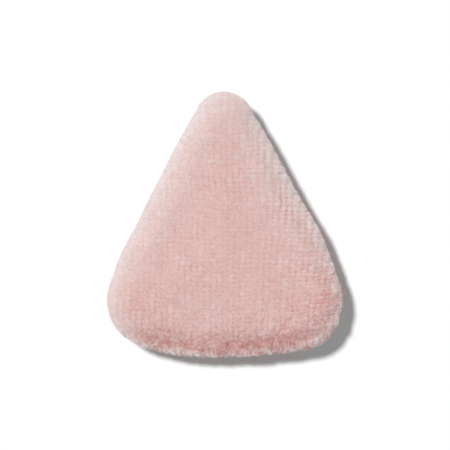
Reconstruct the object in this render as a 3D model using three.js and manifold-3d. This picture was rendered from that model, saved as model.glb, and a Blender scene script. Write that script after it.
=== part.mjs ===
// Triangular powder puff: two velour covers sewn face to face and turned out over a sponge pad,
// with a satin finger strap caught in the side seams. Millimetres, +Z up.
// It lies on its back: the origin is the middle of its outline on the surface it rests on,
// the tip points along +Y and the powder face looks along +Z.
import * as THREE from 'three';
import { mergeVertices } from 'three/addons/utils/BufferGeometryUtils.js';
import Module from 'manifold-3d';

// Outline seen from above
const puffHeight = 65;
const puffWidth = 57;
const tipRadius = 7;
const cornerRadius = 11.5;
const sideRadius = 300;
const baseRadius = 75;

// Section through the pad, with levels measured from the seam
const seamLevel = 5.2;
const faceLevel = 5.5;
const crownRise = 0.8;
const crownPlace = -8;
const rollWidth = 6;
const rimLevel = 1.3;

// The filling is thinner towards the base, so the powder face slopes down there
const slumpDrop = 1.1;
const slumpStart = -19;
const slumpReach = 13;

// Velour covers and the seam that joins them
const coverThickness = 2.4;
const seamInset = 0.9;
const seamGap = 0.3;
const allowanceWidth = 4;
const allowanceThickness = 1;
const foldOpening = 0.25;

// Sponge pad
const fitGap = 0.3;
const spongeSideGap = 0.5;
const spongeRim = 0.8;
const spongeRound = 2;

// Finger strap
const strapWidth = 18;
const strapThickness = 0.4;
const strapPlace = -3;
const strapSink = 0.5;
const strapBend = 0.8;

// Stitching
const threadDiameter = 0.4;
const threadStand = 0.8;
const tackSetback = 0.6;
const turningGap = 22;
const closingStitch = 2.75;
const closingSwing = 0.15;
const closingSink = 0.25;

const manifoldModule = await Module();
manifoldModule.setup();
const { Manifold, Mesh: ManifoldMesh } = manifoldModule;

const quarter = Math.PI / 2;
const threadRadius = threadDiameter / 2;
const flangeLevel = seamGap / 2 + allowanceThickness;
const flangeInset = seamInset + allowanceWidth;
const foldLevel = flangeLevel + foldOpening;

// The outline: tip, long sides, base corners and base edge as tangent arcs
function centreTouching(first, firstReach, second, secondReach) {
  const between = second.clone().sub(first);
  const span = between.length();
  const along = (firstReach ** 2 - secondReach ** 2 + span ** 2) / (2 * span);
  const across = Math.sqrt(firstReach ** 2 - along ** 2);
  const unit = between.clone().normalize();
  return first.clone().addScaledVector(unit, along).add(
    new THREE.Vector2(unit.y, -unit.x).multiplyScalar(across));
}

const halfHeight = puffHeight / 2;
const cornerX = puffWidth / 2 - cornerRadius;
const tipCentre = new THREE.Vector2(0, halfHeight - tipRadius);
const baseCentre = new THREE.Vector2(0, baseRadius - halfHeight);
const cornerCentre = new THREE.Vector2(
  cornerX, baseCentre.y - Math.sqrt((baseRadius - cornerRadius) ** 2 - cornerX ** 2));
const sideCentre = centreTouching(
  tipCentre, sideRadius - tipRadius, cornerCentre, sideRadius - cornerRadius);
const tipTurn = tipCentre.clone().sub(sideCentre).angle();
const cornerTurn = cornerCentre.clone().sub(sideCentre).angle();
const baseTurn = cornerCentre.clone().sub(baseCentre).angle() - 2 * Math.PI;

function arcSamples(centre, radius, from, to, count) {
  return Array.from({ length: count }, (unused, step) => {
    const angle = from + (to - from) * step / count;
    const normal = new THREE.Vector2(Math.cos(angle), Math.sin(angle));
    return { normal, point: centre.clone().addScaledVector(normal, radius) };
  });
}

function mirrored(centre) {
  return new THREE.Vector2(-centre.x, centre.y);
}

// Every outline sample keeps the ray along which the rings of the covers close in on the crown
const crownCentre = new THREE.Vector2(0, crownPlace);
const outline = [
  ...arcSamples(baseCentre, baseRadius, -quarter, baseTurn, 4),
  ...arcSamples(cornerCentre, cornerRadius, baseTurn, 0, 8),
  ...arcSamples(cornerCentre, cornerRadius, 0, cornerTurn, 3),
  ...arcSamples(sideCentre, sideRadius, cornerTurn, tipTurn, 10),
  ...arcSamples(tipCentre, tipRadius, tipTurn, Math.PI - tipTurn, 10),
  ...arcSamples(mirrored(sideCentre), sideRadius, Math.PI - tipTurn, Math.PI - cornerTurn, 10),
  ...arcSamples(mirrored(cornerCentre), cornerRadius, Math.PI - cornerTurn, Math.PI, 3),
  ...arcSamples(mirrored(cornerCentre), cornerRadius, Math.PI, Math.PI - baseTurn, 8),
  ...arcSamples(baseCentre, baseRadius, Math.PI - baseTurn, 3 * quarter, 4),
].map(withRay);

function withRay({ point, normal }) {
  const ray = crownCentre.clone().sub(point).normalize();
  return { point, normal, ray, slant: -ray.dot(normal) };
}

function inset({ point, ray, slant }, distance, level) {
  const moved = point.clone().addScaledVector(ray, distance / slant);
  return new THREE.Vector3(moved.x, moved.y, level);
}

function ringAt(distance, level) {
  return outline.map((sample) => inset(sample, distance, level));
}

function crownRing(share, level) {
  const peak = new THREE.Vector3(crownCentre.x, crownCentre.y, level);
  return ringAt(rollWidth, level).map((corner) => peak.clone().lerp(corner, share));
}

function crownAt(share) {
  return crownRise * (1 - share ** 2) ** 2;
}

// Lowers each corner of a ring by its share of the slump at its place along Y
function slumpAt(place) {
  return slumpDrop * THREE.MathUtils.clamp((slumpStart - place) / slumpReach, 0, 1) ** 2;
}

function settled(ring, share) {
  return ring.map((corner) => corner.setZ(corner.z - share * slumpAt(corner.y)));
}

// A closed body lofted from its first pole through the rings to its last pole
function poleLoft(rings, firstLevel, lastLevel) {
  const count = outline.length;
  const corners = rings.flat();
  const first = corners.push(new THREE.Vector3(crownCentre.x, crownCentre.y, firstLevel)) - 1;
  const last = corners.push(new THREE.Vector3(crownCentre.x, crownCentre.y, lastLevel)) - 1;
  const faces = [];
  for (let step = 0; step < count; step += 1) {
    const next = (step + 1) % count;
    faces.push(first, step, next);
    for (let ring = 0; ring + 1 < rings.length; ring += 1) {
      const here = ring * count;
      const below = here + count;
      faces.push(here + step, below + step, below + next);
      faces.push(here + step, below + next, here + next);
    }
    const end = (rings.length - 1) * count;
    faces.push(end + step, last, end + next);
  }
  return bodyFrom(corners, faces);
}

function bodyFrom(corners, faces) {
  const geometry = new THREE.BufferGeometry();
  geometry.setFromPoints(corners);
  geometry.setIndex(faces);
  return geometry;
}

// A cover lofted downwards has its faces turned the other way round
function turnedOut(geometry) {
  const index = geometry.index.array;
  for (let face = 0; face < index.length; face += 3) {
    [index[face], index[face + 1]] = [index[face + 1], index[face]];
  }
  return geometry;
}

// Velour cover: the outside from crown to seam groove, then the allowance folded back under it
const crownShares = [0.22, 0.5, 0.77];
const rollAngles = [1, 0.8, 0.6, 0.4, 0.2, 0].map((share) => share * quarter);
const innerAngles = [0, 0.5, 1].map((share) => share * quarter);

function innerRise(distance) {
  const reach = THREE.MathUtils.clamp((rollWidth - distance) / (rollWidth - coverThickness), 0, 1);
  return Math.sqrt(1 - reach ** 2);
}

function innerLevel(distance, rollLevel) {
  return foldLevel + (rollLevel - coverThickness - foldLevel) * innerRise(distance);
}

function coverBody(side, rollLevel, crown) {
  const level = (height) => seamLevel + side * height;
  const slump = side > 0 ? 1 : 0;
  const rings = [];
  for (const share of crownShares) {
    rings.push(settled(crownRing(share, level(rollLevel + crown(share))), slump));
  }
  for (const angle of rollAngles) {
    rings.push(settled(ringAt(
      rollWidth * (1 - Math.cos(angle)),
      level(rimLevel + (rollLevel - rimLevel) * Math.sin(angle))), slump * Math.sin(angle)));
  }
  rings.push(ringAt(
    seamInset * (1 - Math.SQRT1_2),
    level(rimLevel - (rimLevel - seamGap / 2) * Math.SQRT1_2)));
  rings.push(ringAt(seamInset, level(seamGap / 2)));
  rings.push(ringAt(flangeInset, level(seamGap / 2)));
  rings.push(ringAt(flangeInset, level(flangeLevel)));
  rings.push(ringAt(coverThickness, level(flangeLevel)));
  for (const angle of innerAngles.toReversed()) {
    const distance = rollWidth - (rollWidth - coverThickness) * Math.sin(angle);
    rings.push(settled(
      ringAt(distance, level(innerLevel(distance, rollLevel))), slump * innerRise(distance) ** 2));
  }
  for (const share of crownShares.toReversed()) {
    rings.push(settled(crownRing(share, level(rollLevel + crown(share) - coverThickness)), slump));
  }
  const peak = rollLevel + crown(0);
  return poleLoft(rings, level(peak), level(peak - coverThickness));
}

// Sponge pad: fills the covers inside the allowances, with a rounded rim
function spongeBody() {
  const top = seamLevel + faceLevel - coverThickness - fitGap;
  const bottom = coverThickness + fitGap;
  const rimInset = flangeInset + spongeSideGap;
  const rings = [];
  for (const share of crownShares) {
    rings.push(settled(crownRing(share, top + crownAt(share)), 1));
  }
  for (const angle of [1, 0.67, 0.33, 0].map((share) => share * quarter)) {
    rings.push(settled(ringAt(
      rimInset + spongeRound * (1 - Math.cos(angle)),
      seamLevel + spongeRim + (top - seamLevel - spongeRim) * Math.sin(angle)), Math.sin(angle)));
  }
  for (const angle of [0, 0.33, 0.67, 1].map((share) => share * quarter)) {
    rings.push(ringAt(
      rimInset + spongeRound * (1 - Math.cos(angle)),
      seamLevel - spongeRim - (seamLevel - spongeRim - bottom) * Math.sin(angle)));
  }
  for (const share of crownShares.toReversed()) {
    rings.push(crownRing(share, bottom));
  }
  return poleLoft(rings, top + crownAt(0), bottom);
}

// Half the width of the outline at a place along Y, taken in by a distance
function halfWidthAt(place, distance) {
  const arcs = [
    { centre: tipCentre, radius: tipRadius - distance, from: tipTurn },
    { centre: sideCentre, radius: sideRadius - distance, from: cornerTurn },
    { centre: cornerCentre, radius: cornerRadius - distance, from: -quarter },
  ];
  const arc = arcs.find(({ centre, radius, from }) => place >= centre.y + radius * Math.sin(from));
  return arc.centre.x + Math.sqrt(arc.radius ** 2 - (place - arc.centre.y) ** 2);
}

// Path of the strap in section, from the middle of the back to its end inside the seam.
// Each stop keeps which way its outer side faces, outwards and up.
function strapPath(endInset) {
  const middle = strapThickness / 2;
  const rollDrop = seamLevel - strapBend - middle;
  const path = [0, 0.35, 0.7].map((share) => ({
    share, inset: rollWidth, level: middle, outwards: 0, upwards: -1 }));
  for (const angle of [0, 0.2, 0.4, 0.6, 0.8].map((share) => share * quarter)) {
    const slope = new THREE.Vector2(
      Math.sin(angle) / (rollWidth - strapSink), Math.cos(angle) / rollDrop).normalize();
    path.push({
      share: 1,
      inset: rollWidth - (rollWidth - strapSink) * Math.sin(angle),
      level: middle + rollDrop * (1 - Math.cos(angle)),
      outwards: slope.x,
      upwards: -slope.y,
    });
  }
  for (const angle of [0, 0.33, 0.67, 1].map((share) => share * quarter)) {
    path.push({
      share: 1,
      inset: strapSink + strapBend * (1 - Math.cos(angle)),
      level: seamLevel - strapBend * (1 - Math.sin(angle)),
      outwards: Math.cos(angle),
      upwards: Math.sin(angle),
    });
  }
  path.push({ share: 1, inset: endInset, level: seamLevel, outwards: 0, upwards: 1 });
  return path;
}

// A band of cloth along the strap path, its outer and inner faces set off from the path
function strapBand(width, endInset, inner, outerAt) {
  const path = strapPath(endInset);
  const rows = [-0.5, -0.17, 0.17, 0.5].map((share) => strapPlace + share * width);
  const stops = [
    ...path.slice(1).map((stop) => ({ ...stop, hand: -1 })).toReversed(),
    ...path.map((stop) => ({ ...stop, hand: 1 })),
  ];
  const place = (stop, row, offset) => new THREE.Vector3(
    stop.hand * stop.share * halfWidthAt(row, stop.inset - stop.outwards * offset),
    row,
    stop.level + stop.upwards * offset);
  const corners = [];
  for (const stop of stops) {
    corners.push(...rows.map((row) => place(stop, row, outerAt(stop))));
    corners.push(...rows.toReversed().map((row) => place(stop, row, -inner)));
  }
  const around = 2 * rows.length;
  const faces = [];
  for (let step = 0; step + 1 < stops.length; step += 1) {
    for (let side = 0; side < around; side += 1) {
      const here = step * around;
      const next = (side + 1) % around;
      faces.push(here + side, here + around + next, here + around + side);
      faces.push(here + side, here + next, here + around + next);
    }
  }
  const end = (stops.length - 1) * around;
  for (let row = 0; row + 1 < rows.length; row += 1) {
    const back = around - 1 - row;
    faces.push(row, back - 1, row + 1, row, back, back - 1);
    faces.push(end + row, end + row + 1, end + back - 1, end + row, end + back - 1, end + back);
  }
  return bodyFrom(corners, faces);
}

// The room the strap needs in both covers: a fit gap in the seam, open to the outside below it
function strapRoom() {
  const half = strapThickness / 2 + fitGap;
  return strapBand(
    strapWidth + 2 * fitGap, flangeInset + fitGap, half,
    (stop) => half + strapSink * (stop.upwards > 0 ? stop.outwards : 1));
}

function solidOf(geometry) {
  return new Manifold(new ManifoldMesh({
    numProp: 3,
    vertProperties: new Float32Array(geometry.attributes.position.array),
    triVerts: new Uint32Array(geometry.index.array),
  }));
}

function geometryOf(solid) {
  const mesh = solid.getMesh();
  const geometry = new THREE.BufferGeometry();
  geometry.setAttribute('position', new THREE.BufferAttribute(mesh.vertProperties, 3));
  geometry.setIndex(new THREE.BufferAttribute(mesh.triVerts, 1));
  return geometry;
}

function withStrapRoom(cover) {
  return geometryOf(solidOf(cover).subtract(solidOf(strapRoom())));
}

// Thread: a round yarn along a run of points
function threadBody(points, steps) {
  const section = new THREE.Shape().absarc(0, 0, threadRadius, 0, 2 * Math.PI);
  const run = new THREE.ExtrudeGeometry(section, {
    steps,
    curveSegments: 3,
    extrudePath: new THREE.CatmullRomCurve3(points),
  });
  run.deleteAttribute('normal');
  run.deleteAttribute('uv');
  return mergeVertices(run);
}

function basePoint(across) {
  const angle = Math.asin(across / baseRadius);
  const normal = new THREE.Vector2(Math.sin(angle), -Math.cos(angle));
  return withRay({ normal, point: baseCentre.clone().addScaledVector(normal, baseRadius) });
}

// Lockstitch threads lie in the folds, one on each side of the joined allowances,
// and leave the turning gap in the base edge open
const threadInset = coverThickness + threadStand;

function lockstitchBody(side, rollLevel) {
  const level = seamLevel + side * (flangeLevel + innerLevel(threadInset, rollLevel)) / 2;
  const slump = side > 0 ? innerRise(threadInset) ** 2 / 2 : 0;
  const inGap = ({ point }) => point.y < cornerCentre.y && Math.abs(point.x) <= turningGap / 2;
  const samples = [
    basePoint(turningGap / 2),
    ...outline.filter((sample) => !inGap(sample)),
    basePoint(-turningGap / 2),
  ];
  return threadBody(settled(samples.map((sample) => inset(sample, threadInset, level)), slump), 76);
}

// Ladder stitch that closes the turning gap, swinging between the covers in the seam groove
function closingBody() {
  const count = Math.round(turningGap / closingStitch) + 2;
  const points = [];
  for (let stitch = 0; stitch <= count; stitch += 1) {
    const across = (stitch / count - 0.5) * (turningGap + 2 * closingStitch);
    const swing = stitch % 2 === 0 ? closingSwing : -closingSwing;
    points.push(inset(basePoint(across), closingSink, seamLevel + swing));
  }
  return threadBody(points, 3 * count);
}

// Row of stitching that tacks a strap end to the back allowance
function tackBody(hand) {
  const distance = flangeInset - tackSetback;
  const level = seamLevel - (flangeLevel + innerLevel(distance, seamLevel)) / 2;
  const points = [];
  for (const share of [-0.5, -0.25, 0, 0.25, 0.5]) {
    const place = strapPlace + share * strapWidth;
    points.push(new THREE.Vector3(hand * halfWidthAt(place, distance), place, level));
  }
  return threadBody(points, 8);
}

function named(name, geometry, colour, roughness) {
  const mesh = new THREE.Mesh(geometry, new THREE.MeshStandardMaterial({ color: colour, roughness }));
  mesh.name = name;
  mesh.geometry.computeVertexNormals();
  return mesh;
}

const velour = '#ddb8b2';
const thread = '#d6aaa4';
const puff = new THREE.Group();
puff.name = 'powder_puff';
puff.add(
  named('front_cover', withStrapRoom(coverBody(1, faceLevel, crownAt)), velour, 0.95),
  named('back_cover', withStrapRoom(turnedOut(coverBody(-1, seamLevel, () => 0))), velour, 0.95),
  named('sponge_core', spongeBody(), '#f2ebe2', 0.9),
  named('finger_strap', strapBand(strapWidth, flangeInset, strapThickness / 2, () => strapThickness / 2),
    '#e2bfba', 0.4),
  named('needle_thread', lockstitchBody(1, faceLevel), thread, 0.7),
  named('bobbin_thread', lockstitchBody(-1, seamLevel), thread, 0.7),
  named('closing_thread', closingBody(), thread, 0.7),
  named('left_strap_tack', tackBody(-1), thread, 0.7),
  named('right_strap_tack', tackBody(1), thread, 0.7),
);

export default puff;
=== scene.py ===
import math

import bpy
import numpy as np
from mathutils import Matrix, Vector, kdtree, noise


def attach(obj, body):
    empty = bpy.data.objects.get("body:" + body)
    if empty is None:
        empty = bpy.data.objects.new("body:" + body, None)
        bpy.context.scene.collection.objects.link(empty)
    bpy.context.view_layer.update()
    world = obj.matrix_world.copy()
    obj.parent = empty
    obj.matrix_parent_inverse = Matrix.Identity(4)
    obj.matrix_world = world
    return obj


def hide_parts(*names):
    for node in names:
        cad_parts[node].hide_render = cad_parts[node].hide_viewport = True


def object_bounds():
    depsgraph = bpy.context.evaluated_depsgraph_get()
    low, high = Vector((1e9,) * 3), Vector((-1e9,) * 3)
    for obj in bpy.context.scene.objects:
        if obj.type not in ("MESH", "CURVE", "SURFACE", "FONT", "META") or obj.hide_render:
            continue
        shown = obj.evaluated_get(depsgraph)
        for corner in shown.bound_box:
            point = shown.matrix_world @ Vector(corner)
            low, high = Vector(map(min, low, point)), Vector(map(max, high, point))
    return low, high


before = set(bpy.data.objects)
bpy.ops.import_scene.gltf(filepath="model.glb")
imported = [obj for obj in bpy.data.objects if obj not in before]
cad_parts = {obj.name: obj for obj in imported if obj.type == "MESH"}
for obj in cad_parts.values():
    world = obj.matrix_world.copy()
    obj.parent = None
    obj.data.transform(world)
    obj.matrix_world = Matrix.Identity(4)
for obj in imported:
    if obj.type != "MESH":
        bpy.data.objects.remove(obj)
cad_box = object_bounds()
mm = 0.001


# Outline of the puff
# The maker's cutting pattern is a triangle of tangent arcs, drawn here in millimetres as the pile ends.
# Turning and stuffing by hand leave it a little uneven, so low bulges and hollows are added to it.
tip_radius = 7.0
corner_radius = 11.5
side_radius = 300.0
base_radius = 75.0
short_arc_steps = 400
long_arc_steps = 800
outline_steps = 264
crown_place = np.array((0.0, -8.0))
puff_low, puff_high = (np.array(corner) / mm for corner in cad_box)
half_width = (puff_high[0] - puff_low[0]) / 2
half_height = (puff_high[1] - puff_low[1]) / 2

# Each unevenness: where it is, how far along the edge it reaches and how far it stands out
edge_drifts = (
    (23.0, -3.5, 9.0, 1.1),
    (27.5, -14.0, 6.0, 0.35),
    (12.5, 17.0, 9.0, 0.05),
    (5.0, 30.5, 5.0, -0.22),
    (-25.0, -8.0, 6.5, 0.85),
    (-19.0, 6.0, 8.0, 0.25),
    (-9.0, 23.5, 9.5, 0.42),
    (23.5, -28.0, 5.5, 0.55),
    (2.0, -32.5, 6.0, -0.42),
    (-28.0, -18.0, 6.0, 0.35),
    (-23.5, -28.5, 5.0, -0.22),
    (10.8, -31.8, 1.8, -0.45),
)


def arc_points(centre, radius, count, start, stop):
    angles = np.linspace(start, stop, count, endpoint=False)
    normals = np.stack((np.cos(angles), np.sin(angles)), axis=1)
    return np.asarray(centre) + radius * normals, normals


def run_along(path):
    """How far along a path each of its points lies."""
    return np.concatenate(((0.0,), np.cumsum(np.hypot(*np.diff(path, axis=0).T))))


def between(wanted, places, values):
    """Flat points or directions at the wanted places along a path."""
    return np.stack([np.interp(wanted, places, values[:, axis]) for axis in (0, 1)], axis=1)


def unit(directions):
    return directions / np.hypot(*directions.T)[:, None]


def puff_outline(count):
    """Points round the edge at even distances, from the middle of the base, and where each one faces."""
    tip = np.array((0.0, half_height - tip_radius))
    base = np.array((0.0, base_radius - half_height))
    across = half_width - corner_radius
    corner = np.array((across, base[1] - math.sqrt((base_radius - corner_radius) ** 2 - across**2)))
    span = corner - tip
    reach = np.hypot(*span)
    near, far = side_radius - tip_radius, side_radius - corner_radius
    along = (near**2 - far**2 + reach**2) / (2 * reach)
    off = math.sqrt(near**2 - along**2)
    side = tip + span / reach * along + np.array((span[1], -span[0])) / reach * off
    tip_turn = math.atan2(*(tip - side)[::-1])
    corner_turn = math.atan2(*(corner - side)[::-1])
    base_turn = math.atan2(*(corner - base)[::-1])
    mirror = np.array((-1.0, 1.0))
    half_turns = (-math.pi / 2, base_turn, corner_turn, tip_turn)
    turns = half_turns + tuple(math.pi - turn for turn in reversed(half_turns))
    arcs = (
        (base, base_radius, short_arc_steps),
        (corner, corner_radius, short_arc_steps),
        (side, side_radius, long_arc_steps),
        (tip, tip_radius, short_arc_steps),
        (side * mirror, side_radius, long_arc_steps),
        (corner * mirror, corner_radius, short_arc_steps),
        (base, base_radius, short_arc_steps),
    )
    runs = [arc_points(*arc, *ends) for arc, ends in zip(arcs, zip(turns, turns[1:]))]
    points, normals = (np.concatenate(part) for part in zip(*runs))
    for x, y, stretch, out in edge_drifts:
        fade = np.exp(-np.sum((points - (x, y)) ** 2, axis=1) / stretch**2)
        points = points + normals * (out * fade)[:, None]
    loop = np.concatenate((points, points[:1]))
    turn = np.concatenate((normals, normals[:1]))
    places = run_along(loop)
    wanted = np.linspace(0.0, places[-1], count, endpoint=False)
    return between(wanted, places, loop), unit(between(wanted, places, turn))


edge_points, edge_normals = puff_outline(outline_steps)
edge_rays = unit(crown_place - edge_points)
edge_slants = -np.sum(edge_rays * edge_normals, axis=1)


def edge_ring(inset):
    """The outline moved in by an inset, along rays to the crown so that all rings have the same steps."""
    return edge_points + edge_rays * (inset / edge_slants)[:, None]


# Velour covers
# Each cover is one piece of plush knit: a thin knitted ground that carries the pile. The two are sewn
# together inside out, so their seam allowances lie folded in behind the seam once the puff is turned.
seam_level = 5.2
face_level = 5.5
crown_rise = 0.8
roll_width = 6.0
pile_length = 1.9
ground_thickness = 0.45
ground_rim = 1.5
fold_depth = 1.0
allowance_level = 1.15
allowance_reach = 4.9
pressed_pile = 0.45
pressed_reach = 3.4
pattern_span = 88.0
first_crown_share = 0.04
crown_rings = 26
roll_rings = 14
fold_rings = 6
allowance_rings = 6


def quarter_turn(steps):
    """Angles of a quarter turn, without its start."""
    return np.linspace(0.0, math.pi / 2, steps + 1)[1:]


def cover_profile(roll_level, crown):
    """Rings of one cover from its crown to the end of its allowance.

    Each is its kind, its share of the crown or its inset, its level from the seam, its inset on the cutting
    pattern and how full its pile is: the pile is pressed flat between the two allowances.
    """
    rings = []
    for share in np.linspace(first_crown_share, 1.0, crown_rings) ** 0.9:
        rings.append(("crown", share, roll_level - pile_length + crown * (1 - share**2) ** 2, None, 1.0))
    reach = roll_width - pile_length
    rise = roll_level - pile_length - ground_rim
    stops = []
    for angle in quarter_turn(roll_rings):
        stops.append((roll_width - reach * math.sin(angle), ground_rim + rise * math.cos(angle), 1.0))
    for angle in quarter_turn(fold_rings):
        stops.append((
            pile_length + fold_depth * (1 - math.cos(angle)),
            ground_rim - (ground_rim - allowance_level) * math.sin(angle),
            1.0 - 0.5 * math.sin(angle) ** 2,
        ))
    for inset in np.linspace(pile_length + fold_depth, allowance_reach, allowance_rings + 1)[1:]:
        stops.append((inset, allowance_level, pressed_pile if inset < pressed_reach else 0.0))
    inset_before, level_before, flat = roll_width, roll_level - pile_length, roll_width
    for inset, level, pile in stops:
        flat -= math.hypot(inset - inset_before, level - level_before)
        rings.append(("edge", inset, level, flat, pile))
        inset_before, level_before = inset, level
    return rings


# The filling is thinner towards the base, so the face slopes down there
slump_drop = 1.1
slump_start = -19.0
slump_reach = 13.0


def rising(values, start, reach):
    """From 0 at the start to 1 at the end of a reach."""
    return np.clip((values - start) / reach, 0.0, 1.0)


def ring_levels(ring, level, side):
    """Levels of one ring of a cover, measured from the seam."""
    levels = np.full(len(ring), level)
    if side < 0:
        return levels
    share = rising(level, ground_rim, face_level - pile_length - ground_rim)
    return levels - share * slump_drop * rising(-ring[:, 1], -slump_start, slump_reach) ** 2


def cover_points(side, roll_level, crown):
    """Points of one cover from its crown outwards, their spots on the cutting pattern and their pile."""
    inner_edge = edge_ring(roll_width)
    points = [(*crown_place, seam_level + side * (roll_level - pile_length + crown))]
    spots, piles = [crown_place], [1.0]
    for kind, distance, level, flat, pile in cover_profile(roll_level, crown):
        if kind == "crown":
            ring = pattern = crown_place + (inner_edge - crown_place) * distance
        else:
            ring, pattern = edge_ring(distance), edge_ring(flat)
        points.extend(np.column_stack((ring, seam_level + side * ring_levels(ring, level, side))))
        spots.extend(pattern)
        piles.extend([pile] * outline_steps)
    return np.array(points), np.array(spots), np.array(piles)


# The pile opens where it bends over the right side and the base and lies pressed down under the strap on
# the back. Where it is seen from the side its colour is made paler, as painted sheen, and on the right side
# lighter still, as painted light.
# Each patch of nap: where it is, how far it reaches, how much rougher the pile is there and how much painted
# sheen it gets
nap_patches = (
    (14.0, 14.0, 9.0, 0.15, 0.05),
    (-10.0, 22.0, 13.0, -0.25, 0.0),
    (-24.0, -4.0, 11.0, -0.2, -0.05),
    (-8.0, 30.0, 9.0, -0.1, 0.20),
    (5.0, 30.0, 5.0, 0.0, -0.25),
    (27.0, -15.5, 9.5, 0.2, -0.5),
    (20.5, 1.5, 6.0, 0.0, -0.15),
    (19.0, -28.0, 5.0, 0.1, 0.05),
    (-18.0, -25.0, 6.0, 0.1, -0.2),
    (-25.0, -17.0, 7.0, 0.0, -0.2),
)
ribbed_reach = 6.0
fluffy_reach = 5.0
frayed_reach = 2.0
painted_rim_sheen_reach = 1.5
painted_sheen_rim = 1.2
painted_sheen_reach = 4.3
strap_width = 18.0
strap_place = -3.0
strap_margin = 0.7


def nap_traits(points, insets, pile, side):
    """How full, how rough and how loose the pile is at each point, and how much painted sheen it gets."""
    x, y = points[:, 0], points[:, 1]
    # Zones of the cover, each from where it starts and over how many millimetres it comes in
    under_strap = rising(strap_width / 2 - np.abs(y - strap_place), -strap_margin, strap_margin) * (side < 0)
    to_right = rising(x, -4.0, 22.0)
    to_base = rising(-y, 15.0, 13.0) * rising(x, -27.0, 10.0)
    base_edge = rising(-y, 20.0, 8.0) * rising(-np.abs(x), -23.0, 7.0)
    painted_light_side = rising(x, -2.0, 8.0)
    ribbed = np.exp(-insets / ribbed_reach) * to_right
    fluffy = np.exp(-insets / (fluffy_reach + 2.5 * to_right)) * to_base
    frayed = (0.38 - 0.18 * to_right) * np.exp(-insets / frayed_reach)
    relief = 0.15 + 1.5 * ribbed + 1.7 * fluffy
    # Painted sheen pales the rim, less at the base and on the back; painted light adds more on the right
    painted_sheen = painted_sheen_rim * np.exp(-insets / painted_sheen_reach) * (1 + 0.3 * painted_light_side) * (1 - 0.85 * base_edge)
    for right, up, reach, rougher, paler in nap_patches:
        fade = np.exp(-((x - right) ** 2 + (y - up) ** 2) / reach**2)
        relief += rougher * fade
        painted_sheen += paler * fade
    painted_sheen *= 1.0 if side > 0 else 0.5
    return {
        "pile": pile * (1 - 0.3 * under_strap),
        "relief": np.clip(relief, 0.1, 2.0),
        "painted_sheen": np.clip(painted_sheen, 0.0, 1.0 + 0.15 * painted_light_side),
        "looseness": (1 - 0.9 * under_strap) * np.clip(0.08 + frayed + 0.7 * fluffy, 0.05, 1.0),
        # Painted sheen too: a narrow ring at the very rim where the fibres are made paler
        "painted_rim_sheen": np.exp(-(((insets - pile_length) / (painted_rim_sheen_reach - 0.65 * base_edge)) ** 2)),
    }


def disc_faces(first, rings, side):
    """Faces of a disc that looks up or down: a fan round its first point, then one ring after another."""
    faces = []
    for step in range(outline_steps):
        after = (step + 1) % outline_steps
        faces.append((first, first + 1 + step, first + 1 + after))
        for ring in range(rings - 1):
            here = first + 1 + ring * outline_steps
            below = here + outline_steps
            faces.append((here + step, below + step, below + after, here + after))
    return faces if side > 0 else [face[::-1] for face in faces]


def mesh_of(name, points, faces, edges=()):
    """A mesh from points in millimetres."""
    mesh = bpy.data.meshes.new(name)
    mesh.from_pydata((np.asarray(points) * mm).tolist(), edges, faces)
    mesh.shade_smooth()
    return mesh


def lay_out(mesh, name, spots):
    """A UV map that gives each vertex its spot."""
    corners = np.empty(len(mesh.loops), dtype=np.int32)
    mesh.loops.foreach_get("vertex_index", corners)
    mesh.uv_layers.new(name=name).data.foreach_set("uv", spots[corners].astype(np.float32).ravel())


def placed(name, data):
    """A new object at the origin."""
    thing = bpy.data.objects.new(name, data)
    bpy.context.scene.collection.objects.link(thing)
    return thing


def cover_sheet(name, form):
    """The knitted ground of one cover as a sheet that faces outwards, with its cutting pattern as UV map."""
    side = form[0]
    points, spots, piles = cover_points(*form)
    off = points[1:, :2].reshape(-1, outline_steps, 2) - edge_points
    insets = (edge_slants * np.hypot(off[..., 0], off[..., 1])).ravel()
    insets = np.insert(insets, 0, 4 * roll_width)
    sheet = mesh_of(name, points, disc_faces(0, len(off), side))
    lay_out(sheet, "cutting_pattern", 0.5 + spots / pattern_span)
    for trait, values in nap_traits(points, insets, piles, side).items():
        sheet.attributes.new(trait, "FLOAT", "POINT").data.foreach_set("value", values)
    return placed(name, sheet)


# The filling presses the covers apart, so the cloth swells between its seams. This is a cloth simulation of
# the closed pad, enlarged because cloth is steadier at the size of a cushion than at the size of a hand.
swell_scale = 20.0
swell_voxel = 1.3
swell_pressure = 4.0
swell_limit = 0.4
swell_start = 0.35
swell_moments = 20
swell_neighbours = 6

# Each cover: its side, the level of its roll and the rise of its crown
front_form = (1, face_level - swell_start, crown_rise)
back_form = (-1, seam_level, 0.0)
front_cover = cover_sheet("front_cover_ground", front_form)
back_cover = cover_sheet("back_cover_ground", back_form)


def closed_pad():
    """The outside of both grounds as one closed mesh, joined where the fold of the seam begins."""
    rings = crown_rings + roll_rings
    half = 1 + rings * outline_steps
    points = np.concatenate([cover_points(*form)[0][:half] for form in (front_form, back_form)])
    faces = disc_faces(0, rings, 1) + disc_faces(half, rings, -1)
    front_rim = half - outline_steps
    back_rim = front_rim + half
    for step in range(outline_steps):
        after = (step + 1) % outline_steps
        faces.append((front_rim + step, back_rim + step, back_rim + after, front_rim + after))
    return mesh_of("pad", points * swell_scale, faces)


def pad_points(mesh):
    """The points of the enlarged pad, in millimetres of the real one."""
    points = np.empty(len(mesh.vertices) * 3)
    mesh.vertices.foreach_get("co", points)
    return points.reshape(-1, 3) / mm / swell_scale


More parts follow.
